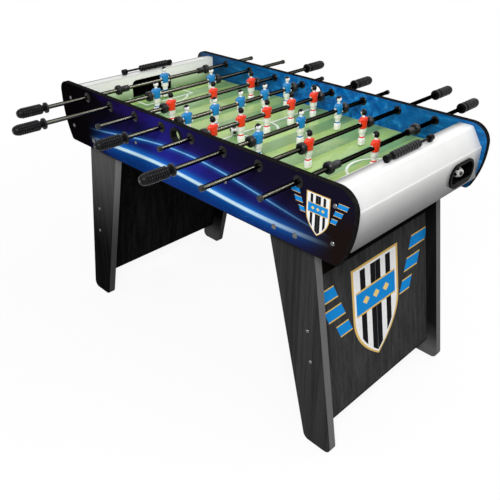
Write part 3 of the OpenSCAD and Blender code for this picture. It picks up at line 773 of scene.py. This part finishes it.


# each end's dark and light grain, its edge bands, and the share of the painted pale sheen on its upper part;
# the left end's darker grain and bands are painted shade on the same foil
leg_looks = {"left": ((0.003, 0.003, 0.003), (0.012, 0.012, 0.012), (0.080, 0.080, 0.082), 1.0),
             "right": ((0.019, 0.019, 0.0195), (0.050, 0.050, 0.051), (0.180, 0.180, 0.183), 0.0)}
for end, (dark, light, band, painted_sheen_share) in leg_looks.items():
    t, shader, colour, leg_finish = board_finish("charcoal_board_" + end, dark, light, 1.1, band, "Y")
    spot = axes_of(t, own_place(t))
    height = spot["Z"]
    place_y = spot["Y"]
    # a painted pale sheen on the upper part of the boards, streaked with the grain and brightest on the edge
    # bands
    painted_sheen_amount = times(t, sum_of(t, "POWER", step_between(t, height, 0.16, 0.66), 1.4), painted_sheen_share)
    turned_y = facing_of(t)["Y"]
    on_band = step_between(t, size_of(t, turned_y), 0.75, 0.65)
    painted_sheen_streaks = mapped(t, colour, 0.004, 0.011, 0.150, 0.200)
    painted_sheen_tone = tint(t, on_band, painted_sheen_streaks, (0.42, 0.42, 0.425, 1))
    colour = tint(t, painted_sheen_amount, colour, tint(t, 0.6, colour, painted_sheen_tone))
    # painted light and shade on the faces turned in under the table: a pale painted sheen near the floor,
    # painted shade higher up
    inner_face = step_between(t, times(t, turned_y, sum_of(t, "SIGN", place_y)), -0.4, -0.6)
    near_floor = mapped(t, height, 0.03, 0.13)
    painted_inner_light_and_shade = colour_scale(t, near_floor,
                               [(0.0, (0.130, 0.130, 0.131)), (0.55, (0.036, 0.036, 0.036)),
                                (1.0, (0.0035, 0.0035, 0.0035))])
    feed(t, tint(t, times(t, inner_face, 0.8), colour, painted_inner_light_and_shade), shader.inputs["Base Color"])
    dress(leg_finish, "leg_boards_" + end)

panel_crest_z = 0.315
panel_crest_half_up = 0.165
panel_crest_half_across = 0.200
t, shader, colour, cross_finish = board_finish("charcoal_panel", (0.026, 0.026, 0.0265),
                                               (0.060, 0.060, 0.061), 1.1, (0.060, 0.060, 0.062), "X")
spot = axes_of(t, own_place(t))
facing = facing_of(t)
turned_out = times(t, facing["X"], sum_of(t, "SIGN", spot["X"]))
outward = step_between(t, turned_out, 0.4, 0.6)
emblem = use_group(t, crest, Across=times(t, spot["Y"], 1 / panel_crest_half_across),
                   Up=times_plus(t, spot["Z"], 1 / panel_crest_half_up,
                                 -panel_crest_z / panel_crest_half_up))
# painted shade: the cross panel's inward face is darker than its outward one
inward = step_between(t, turned_out, -0.4, -0.6)
painted_inward_shade_tone = mapped(t, colour, 0.030, 0.056, 0.0035, 0.0125)
colour = tint(t, inward, colour, painted_inward_shade_tone)
colour = tint(t, times(t, emblem["Mask"], outward), colour, emblem["Colour"])
# a thin painted shadow line along the panel's lower edge
panel_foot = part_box("leg_panel_right")[0].z
painted_foot_shadow_line = step_between(t, spot["Z"], panel_foot + 0.0045, panel_foot + 0.0025)
feed(t, tint(t, painted_foot_shadow_line, colour, (0.003, 0.003, 0.003, 1)), shader.inputs["Base Color"])
dress(cross_finish, "leg_panel_left", "leg_panel_right")

# the rail's black is a painted shadow under the moulded end
t, shader, colour, shadow_rail_finish = board_finish("black_board", (0.002, 0.0018, 0.0015),
                                              (0.007, 0.006, 0.005), 1.0, (0.005, 0.004, 0.0035), "X")
feed(t, colour, shader.inputs["Base Color"])
dress(shadow_rail_finish, "leg_rails")

# ---- Screws ----
# Domed steel screws and bolts that hold the cabinet and the legs together, plated and lightly
# brushed. The players' pins and the screws of handles and clamps have the same finish.
steel, t, steel_shader = new_finish("bright_screw", Metallic=1.0)
spot = own_place(t)
brushing = grain_noise(t, stretched(t, spot, 2200, 2200, 300), 1.0, 2.0)
# the steel's colour is kept dark as a painted dark reflection, varied by the brushing
feed(t, colour_scale(t, brushing, [(0.3, (0.10, 0.10, 0.105)), (0.7, (0.20, 0.20, 0.205))]),
     steel_shader.inputs["Base Color"])
roughen(t, steel_shader, brushing, 0.16, 0.34)
dress(steel, "cabinet_screws", "leg_screws")

# ---- Rods ----
# Eight steel tubes with a chrome plating, painted dark as a dark reflection, open at the ends inside their
# handles and caps; polished where they run in the bearings, with a few faint rings of wear.
chrome, t, chrome_shader = new_finish("chromed_rod", Metallic=1.0, Specular_Tint=(0.05, 0.05, 0.05, 1))
spot = own_place(t)
wipe = grain_noise(t, stretched(t, spot, 60, 14, 60), 1.0, 3.0)
worn_rings = step_between(t, grain_noise(t, stretched(t, spot, 1, 60, 1), 1.0, 2.0), 0.60, 0.80)
# the plating's colours and its near black edge tint are kept dark as a painted dark reflection; the paler
# rings are wear
plating_and_painted_dark = colour_scale(t, wipe, [(0.3, (0.17, 0.165, 0.130)), (0.7, (0.27, 0.26, 0.215))])
plating_and_painted_dark = tint(t, times(t, worn_rings, 0.2), plating_and_painted_dark, (0.36, 0.35, 0.31, 1))
# painted dark reflection: the colour goes near black where the tube turns away from the eye
painted_dark_edge_turn = lay(t, "LayerWeight", {"Blend": 0.5}).outputs["Facing"]
feed(t, tint(t, step_between(t, painted_dark_edge_turn, 0.10, 0.42), plating_and_painted_dark, (0.012, 0.012, 0.010, 1)),
     chrome_shader.inputs["Base Color"])
roughen(t, chrome_shader, wipe, 0.12, 0.18)
tube_wall = 0.0013
tube_sides = 48
bevel = 0.0004


def turned(form, profile, sides):
    """Turns (radius, place) points about the Y axis; a radius of 0 closes the end."""
    rows = []
    turns = [2 * math.pi * n / sides for n in range(sides)]
    for radius, place in profile:
        if radius > 0:
            rows.append([form.verts.new((radius * math.sin(a), place, radius * math.cos(a))) for a in turns])
        else:
            rows.append([form.verts.new((0, place, 0))])
    for below, above in zip(rows, rows[1:]):
        for n in range(sides):
            after = (n + 1) % sides
            corners = (below[n % len(below)], below[after % len(below)],
                       above[after % len(above)], above[n % len(above)])
            corners = list(dict.fromkeys(corners))
            if len(corners) > 2:
                form.faces.new(corners)
    return rows


def rod_line(number):
    """A rod's axis, as x and z, and its radius."""
    low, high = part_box(f"rod_{number}_tube")
    return (low.x + high.x) / 2, (low.z + high.z) / 2, (high.x - low.x) / 2


rod_numbers = range(1, 9)
for number in rod_numbers:
    low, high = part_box(f"rod_{number}_tube")
    axis_x, axis_z, radius = rod_line(number)
    form = bmesh.new()
    turned(form, [(radius - tube_wall, low.y), (radius - bevel, low.y), (radius, low.y + bevel),
                  (radius, high.y - bevel), (radius - bevel, high.y), (radius - tube_wall, high.y),
                  (radius - tube_wall, low.y)], tube_sides)
    bmesh.ops.remove_doubles(form, verts=form.verts, dist=1e-6)
    bmesh.ops.recalc_face_normals(form, faces=form.faces)
    bmesh.ops.translate(form, verts=form.verts, vec=(axis_x, 0, axis_z))
    tube = add_piece(f"rod_{number}", mesh_of(form, f"rod_{number}"), f"rod_{number}", "chromed_rod", chrome)
    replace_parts(tube, f"rod_{number}_tube")

# ---- Players ----
# One-piece moulded men pinned to the rods: pale plastic with the shirt and sock band in the
# team's colour and black hair. Blue faces right, red faces left.
millimetre = 0.001
skin_plastic = moulded_finish("pale_plastic", (0.99, 0.95, 0.95), (0.90, 0.86, 0.80), 0.30, 0.1, 600.0, 0.05,
                              Specular_IOR_Level=1.0, Coat_Weight=1.0, Coat_Roughness=0.15)
hair_plastic = moulded_finish("hair_plastic", (0.004, 0.004, 0.004), (0.03, 0.03, 0.03), 0.28, 0.3,
                              Specular_IOR_Level=0.12)
blue_shirt = moulded_finish("blue_player", (0.002, 0.200, 0.50), (0.06, 0.42, 0.72), 0.26, 0.25)
red_shirt = moulded_finish("red_player", (0.84, 0.036, 0.006), (0.88, 0.20, 0.09), 0.26, 0.25)
SKIN, SHIRT, HAIR, PIN = range(4)
# each ring: height, shift forwards, half depth, half width, squareness, finish of the skin above it
body_rings = [
    # the foot block
    (-61.0, 0, 5.6, 9.6, 6, SKIN), (-60.8, 0, 6.2, 10.2, 6, SKIN), (-60.0, 0, 6.5, 10.5, 7, SKIN),
    (-50.0, 0.1, 6.6, 10.6, 7, SKIN), (-42.2, 0.1, 6.5, 10.4, 6, SKIN), (-41.2, 0.1, 6.1, 9.8, 5, SKIN),
    # the sock band
    (-40.6, 0, 5.6, 8.0, 4, SKIN), (-40.0, 0, 5.9, 7.9, 3.6, SHIRT), (-39.0, 0, 6.2, 8.2, 3.4, SHIRT),
    (-36.6, 0, 6.2, 8.3, 3.4, SHIRT), (-35.8, 0, 5.8, 8.0, 3.4, SKIN), (-35.0, 0, 5.6, 7.9, 3.2, SKIN),
    # the legs and the shorts
    (-30.0, 0.1, 6.4, 8.8, 3, SKIN), (-25.6, 0.1, 7.0, 9.9, 3, SKIN), (-25.0, 0, 8.2, 11.6, 3.2, SKIN),
    (-24.2, 0, 8.6, 12.0, 3.2, SKIN), (-18.0, 0, 9.0, 12.2, 3, SKIN), (-11.6, 0, 9.3, 12.4, 3, SKIN),
    # the shirt
    (-11.0, 0, 9.7, 12.8, 3, SHIRT), (-6.0, 0.2, 10.1, 12.9, 2.8, SHIRT), (0.0, 0.3, 10.5, 13.0, 2.6, SHIRT),
    (6.0, 0.3, 10.1, 13.4, 2.6, SHIRT), (12.0, 0.1, 9.2, 14.2, 2.6, SHIRT), (16.5, 0, 8.0, 14.0, 2.5, SHIRT),
    (19.6, -0.2, 6.6, 11.6, 2.3, SHIRT), (21.2, -0.2, 5.2, 7.2, 2.2, SHIRT),
    # the neck
    (21.9, -0.2, 4.6, 5.2, 2, SKIN), (22.4, 0, 4.0, 4.4, 2, SKIN), (26.0, 0.3, 3.9, 4.1, 2, SKIN),
    (30.0, 0.5, 4.0, 4.2, 2, SKIN)]
body_corners = 20
# each ring of an arm: height, shift forwards, distance from the middle, half depth, half width, finish
arm_rings = [
    # the sleeve
    (18.6, -0.4, 12.4, 3.2, 2.4, SHIRT), (16.0, -0.4, 14.6, 4.4, 3.4, SHIRT),
    (11.0, -0.3, 15.4, 4.7, 3.3, SHIRT), (9.6, -0.2, 15.6, 4.7, 3.2, SHIRT),
    # the forearm and the hand
    (9.2, -0.2, 15.7, 4.1, 3.0, SKIN), (3.0, 0.5, 15.9, 4.0, 3.2, SKIN), (-3.0, 1.6, 15.8, 4.0, 3.2, SKIN),
    (-6.5, 2.4, 15.4, 4.2, 3.4, SKIN), (-9.0, 2.7, 15.0, 3.2, 2.6, SKIN)]
arm_squareness = 2.2
arm_corners = 12
head_height = 33.8
head_half = (8.5, 8.2, 9.4)
head_shift = 0.4
hair_thickness = 0.075
jaw_taper = 0.16
nose_out = 1.1
brow_out = 0.35
pin_radius = 1.5
pin_out = 10.3


def squared_ring(form, height, centre_x, centre_y, half_x, half_y, squareness, count):
    """Corners round a rounded rectangle, in millimetres about the rod."""
    corners = []
    for n in range(count):
        angle = 2 * math.pi * n / count
        c, s = math.cos(angle), math.sin(angle)
        x = math.copysign(abs(c) ** (2 / squareness), c) * half_x
        y = math.copysign(abs(s) ** (2 / squareness), s) * half_y
        corners.append(form.verts.new((centre_x + x, centre_y + y, height)))
    return corners


def skin_over(form, rings, finishes):
    """Joins rings of corners into a closed skin, each band in its finish."""
    for below, above, finish in zip(rings, rings[1:], finishes):
        for face in joined(form, below, above):
            face.material_index = finish
    for cap, finish in ((rings[0][::-1], finishes[0]), (rings[-1], finishes[-2])):
        form.faces.new(cap).material_index = finish


def round_head(form, around, up, radius, finish):
    """A round head of a screw or pin in its own finish; gives its corners."""
    corners = bmesh.ops.create_uvsphere(form, u_segments=around, v_segments=up, radius=radius)["verts"]
    for face in {f for v in corners for f in v.link_faces}:
        face.material_index = finish
    return corners


def put_head(form):
    """A plain head: short hair, a narrower jaw, a nose and a brow."""
    head = bmesh.ops.create_uvsphere(form, u_segments=24, v_segments=16, radius=1.0)["verts"]
    hair_corners = set()
    for face in {f for v in head for f in v.link_faces}:
        way = face.calc_center_median().normalized()
        # the hair covers the crown and the back, and stops above the brow and behind the ears
        if way.z > 0.42 + 0.12 * math.cos(3 * way.y) or (way.x < -0.12 and way.z > -0.62):
            face.material_index = HAIR
            hair_corners.update(face.verts)
    for corner in head:
        way = corner.co.copy()
        size = 1.0 + (hair_thickness if corner in hair_corners else 0.0)
        jaw = 1.0 - jaw_taper * max(0.0, -way.z) ** 1.5
        corner.co = Vector((way.x * head_half[0] * size * jaw + head_shift, way.y * head_half[1] * size * jaw,
                            way.z * head_half[2] * size + head_height))
        if way.x > 0.5:
            corner.co.x += nose_out * math.exp(-((way.y / 0.16) ** 2 + ((way.z + 0.12) / 0.2) ** 2))
            if abs(way.y) < 0.6:
                corner.co.x += brow_out * math.exp(-((way.z - 0.16) / 0.1) ** 2)


def man_form():
    """One player standing on the rod's axis and facing +X, in millimetres."""
    form = bmesh.new()
    rings = []
    for height, shift, half_x, half_y, squareness, _ in body_rings:
        row = squared_ring(form, height, shift, 0, half_x, half_y, squareness, body_corners)
        if -36 < height < -24:
            # a groove parts the two legs, shallower in the shorts
            groove = 1.4 if height < -25.5 else 0.7
            for corner in row:
                if abs(corner.co.y) < 1.5:
                    corner.co.x -= math.copysign(groove, corner.co.x - shift)
        rings.append(row)
    skin_over(form, rings, [ring[-1] for ring in body_rings])
    for hand in (-1, 1):
        rings = [squared_ring(form, z, x, hand * y, half_x, half_y, arm_squareness, arm_corners)
                 for z, x, y, half_x, half_y, _ in arm_rings]
        skin_over(form, rings, [ring[-1] for ring in arm_rings])
    put_head(form)
    # the pin's two ends show in the back and, a little further out, in the chest
    for way, out in ((-1, -pin_out), (1, 0.3 + pin_out)):
        pin = round_head(form, 10, 6, pin_radius, PIN)
        bmesh.ops.scale(form, verts=pin, vec=(0.5, 1, 1))
        bmesh.ops.translate(form, verts=pin, vec=(out, 2.0 * way, -1.0))
    return form


man = man_form()
bmesh.ops.recalc_face_normals(man, faces=man.faces)
man_mesh = bpy.data.meshes.new("man")
man.to_mesh(man_mesh)
man.free()
# which way each rod's men face (1 is +X, blue; -1 is -X, red), and how many it carries
team_side = {1: 1, 2: 1, 3: -1, 4: 1, 5: -1, 6: 1, 7: -1, 8: -1}
men_on_rod = {1: 1, 2: 2, 3: 3, 4: 5, 5: 5, 6: 3, 7: 2, 8: 1}
places_in_line = {1: (0,), 2: (-0.118, 0.118), 3: (-0.172, 0, 0.172), 5: (-0.214, -0.107, 0, 0.107, 0.214)}


def middle_of_men(number):
    """The middle of a rod's line of men, along Y."""
    low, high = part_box(f"rod_{number}_players")
    return (low.y + high.y) / 2


for number in rod_numbers:
    axis_x, axis_z, _ = rod_line(number)
    middle_y = middle_of_men(number)
    team = team_side[number]
    rod_men = bmesh.new()
    for place in places_in_line[men_on_rod[number]]:
        start = len(rod_men.verts)
        rod_men.from_mesh(man_mesh)
        rod_men.verts.ensure_lookup_table()
        own = rod_men.verts[start:]
        bmesh.ops.scale(rod_men, verts=own, vec=(team * millimetre, team * millimetre, millimetre))
        bmesh.ops.translate(rod_men, verts=own, vec=(axis_x, middle_y + place, axis_z))
    slot_name, shirt = ("blue_player", blue_shirt) if team > 0 else ("red_player", red_shirt)
    men = add_piece(f"players_{number}", mesh_of(rod_men, f"players_{number}", 50), f"team_rod_{number}",
                    slot_name, skin_plastic, shirt, hair_plastic, steel)
    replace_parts(men, f"rod_{number}_players")

# ---- Handles ----
# Black moulded grips: a thin guard disc, a slim neck and a long grip covered with small square
# pads, rounded at the end, where a screw holds it to the rod.
grip_rubber = moulded_finish("grip", (0.004, 0.004, 0.0045), (0.02, 0.02, 0.021), 0.34, 0.6, 500.0, 0.25,
                             Specular_IOR_Level=0.12)
# the pads are glossier than the grip, and their lighter grey with its rubbed patches is partly a painted
# highlight
pad_rubber_painted_highlight = moulded_finish("grip_pad_painted_highlight", (0.011, 0.0115, 0.013), (0.055, 0.055, 0.060), 0.28, 0.9, 500.0, 0.2,
                            Specular_IOR_Level=0.2)
GRIP, SCREW, PAD = range(3)
grip_radius = 0.0155
guard_radius = 0.0163
neck_radius = 0.0095
pad_rows = 9
pad_first = 0.0200
pad_pitch = 0.0069
pads_round = 12
pad_steps = 5
pad_groove = 0.0017
screw_radius = 0.0032
for number in rod_numbers:
    low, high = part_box(f"rod_{number}_handle")
    axis_x, axis_z, rod_radius = rod_line(number)
    length = high.y - low.y
    bore = rod_radius + 0.0001
    # the team that faces +X has its handles at -Y, the other at +Y
    way = -team_side[number]
    start = low.y if way > 0 else high.y
    # as (radius, place), from the guard disc over the neck to the first groove
    profile = [(bore, 0.002), (bore, 0.0), (guard_radius - 0.0018, 0.0), (guard_radius - 0.0004, 0.0006),
               (guard_radius, 0.002), (guard_radius, 0.0052), (guard_radius - 0.0005, 0.0066),
               (guard_radius - 0.0022, 0.0074), (neck_radius + 0.0015, 0.0080), (neck_radius, 0.0092),
               (neck_radius, 0.0140), (neck_radius + 0.0010, 0.0152), (grip_radius - 0.0032, 0.0172),
               (grip_radius - 0.0020, 0.0186), (grip_radius - pad_groove, 0.0194)]
    pad_places = range(len(profile), len(profile) + 4 * pad_rows)
    for row in range(pad_rows):
        foot = pad_first + row * pad_pitch
        profile += [(grip_radius - pad_groove, foot), (grip_radius, foot + 0.0007),
                    (grip_radius, foot + (pad_pitch - 0.0022)),
                    (grip_radius - pad_groove, foot + (pad_pitch - 0.0015))]
    profile += [(grip_radius - 0.0009, length - 0.0140), (grip_radius - 0.0016, length - 0.0110),
                (grip_radius - 0.0031, length - 0.0072), (grip_radius - 0.0052, length - 0.0040),
                (grip_radius - 0.0082, length - 0.0016), (grip_radius - 0.0115, length - 0.0006),
                (0.0036, length - 0.0006), (0.0034, length - 0.0016), (0, length - 0.0016)]
    form = bmesh.new()
    rows = turned(form, profile, pads_round * pad_steps)
    # every fifth line of corners sinks to the groove's depth, which parts the pads round the grip
    for row_number in pad_places:
        ratio = (grip_radius - pad_groove) / profile[row_number][0]
        for corner in rows[row_number][::pad_steps]:
            corner.co.x *= ratio
            corner.co.z *= ratio
    bmesh.ops.recalc_face_normals(form, faces=form.faces)
    for face in form.faces:
        if min(math.hypot(corner.co.x, corner.co.z) for corner in face.verts) > grip_radius - 0.0001:
            face.material_index = PAD
    screw = round_head(form, 16, 8, screw_radius, SCREW)
    bmesh.ops.rotate(form, verts=screw, matrix=Matrix.Rotation(math.pi / 2, 3, "X"))
    bmesh.ops.scale(form, verts=screw, vec=(1, 0.42, 1))
    bmesh.ops.translate(form, verts=screw, vec=(0, length - 0.0016, 0))
    if way < 0:
        bmesh.ops.scale(form, verts=form.verts, vec=(1, -1, 1))
        bmesh.ops.reverse_faces(form, faces=form.faces)
    bmesh.ops.translate(form, verts=form.verts, vec=(axis_x, start, axis_z))
    grip = add_piece(f"handle_{number}", mesh_of(form, f"handle_{number}", 42), f"team_rod_{number}", "grip",
                     grip_rubber, steel, pad_rubber_painted_highlight)
    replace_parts(grip, f"rod_{number}_handle")

# ---- Bumpers, caps and clamps ----
# Rubber rings that stop the men at the walls, round safety caps on the plain rod ends, and on
# the goalkeepers' rods two clamp collars, each with its small screw.
rubber = moulded_finish("bumper_rubber", (0.012, 0.012, 0.013), (0.060, 0.060, 0.061), 0.32, 0.7,
                        Specular_IOR_Level=0.2)
dress(rubber, *[f"rod_{number}_stops" for number in rod_numbers])
clamp_place = 0.165
clamp_radius = 0.0105
clamp_screw_radius = 0.0021
clamp_screw_turn = math.radians(52)
for number in (1, 8):
    axis_x, axis_z, _ = rod_line(number)
    form = bmesh.new()
    for way in (-1, 1):
        screw = round_head(form, 12, 8, clamp_screw_radius, 0)
        place = middle_of_men(number) + way * clamp_place
        bmesh.ops.scale(form, verts=screw, vec=(1, 1, 0.5))
        bmesh.ops.translate(form, verts=screw, vec=(0, 0, clamp_radius))
        bmesh.ops.rotate(form, verts=screw, matrix=Matrix.Rotation(clamp_screw_turn, 3, "Y"))
        bmesh.ops.translate(form, verts=screw, vec=(axis_x, place, axis_z))
    add_piece(f"clamp_screws_{number}", mesh_of(form, f"clamp_screws_{number}"), f"team_rod_{number}",
              "bright_screw", steel)

# ---- Score counters ----
# Ten black plastic beads slide on a bar over each end; dirt and shade sit in the joints
# between one bead and the next.
bead_pitch = 0.012
for end, joint_y in (("left", 0.007), ("right", 0.003)):
    bead_plastic, t, bead_shader = new_finish("bead_plastic_" + end, Specular_IOR_Level=0.12)
    bead_skin = use_group(t, moulded, Colour=(0.010, 0.010, 0.011, 1), Worn_colour=(0.06, 0.06, 0.06, 1),
                          Roughness=0.22, Wear=0.6)
    place = axes_of(t, own_place(t))["Y"]
    from_joint = sum_of(t, "PINGPONG", minus(t, place, joint_y), bead_pitch / 2)
    crown = step_between(t, from_joint, 0.0012, 0.0042)
    feed(t, tint(t, crown, (0.0015, 0.0015, 0.0015, 1), bead_skin["Colour"]),
         bead_shader.inputs["Base Color"])
    feed(t, bead_skin["Roughness"], bead_shader.inputs["Roughness"])
    raise_skin(t, bead_shader, crown, 0.5, 0.001)
    dress(bead_plastic, "score_beads_" + end)

# ---- Balls ----
# Small hard plastic balls in white with black five-sided patches and fine moulded seams, one on
# the pitch and one lying in the right return cup.
ball_white = moulded_finish("ball_white", (0.80, 0.80, 0.79), (0.6, 0.6, 0.58), 0.22, 0.3, 700.0, 0.05)
ball_black = moulded_finish("ball_black", (0.008, 0.008, 0.008), (0.05, 0.05, 0.05), 0.24, 0.3, 700.0, 0.05)
# twelve five-sided patches and twenty six-sided ones, which reach a little less far
six_sided_reach = 0.9865
seam_width = 0.012
seam_depth = 0.012
golden = (1 + 5 ** 0.5) / 2
pent_ways = [Vector(v).normalized() for a in (-1, 1) for b in (-golden, golden)
             for v in ((0, a, b), (a, b, 0), (b, 0, a))]
hex_ways = []
for a in range(12):
    for b in range(a):
        for c in range(b):
            trio = (pent_ways[a], pent_ways[b], pent_ways[c])
            if all(trio[i].dot(trio[j]) > 0.4 for i, j in ((0, 1), (0, 2), (1, 2))):
                hex_ways.append(sum(trio, Vector()).normalized())
for node, name, body, spin in (("ball_in_play", "ball_on_pitch", "ball_on_pitch", 0.4),
                               ("ball_in_return", "ball_in_cup", "ball_in_cup", 1.3)):
    low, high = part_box(node)
    radius = (high.z - low.z) / 2
    form = bmesh.new()
    bmesh.ops.create_icosphere(form, subdivisions=5, radius=1.0)
    for corner in form.verts:
        way = corner.co.normalized()
        shares = sorted([way.dot(p) for p in pent_ways] + [way.dot(h) * six_sided_reach for h in hex_ways])
        seam = max(0.0, 1 - (shares[-1] - shares[-2]) / seam_width)
        corner.co = way * radius * (1 - seam_depth * seam)
    for face in form.faces:
        way = face.calc_center_median().normalized()
        black = max(way.dot(p) for p in pent_ways) > max(way.dot(h) for h in hex_ways) * six_sided_reach
        face.material_index = 1 if black else 0
    bmesh.ops.rotate(form, verts=form.verts, matrix=Matrix.Rotation(spin, 3, Vector((0.3, 0.8, 0.5))))
    bmesh.ops.translate(form, verts=form.verts, vec=(low + high) / 2)
    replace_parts(add_piece(name, mesh_of(form, name, 60), body, "ball", ball_white, ball_black), node)
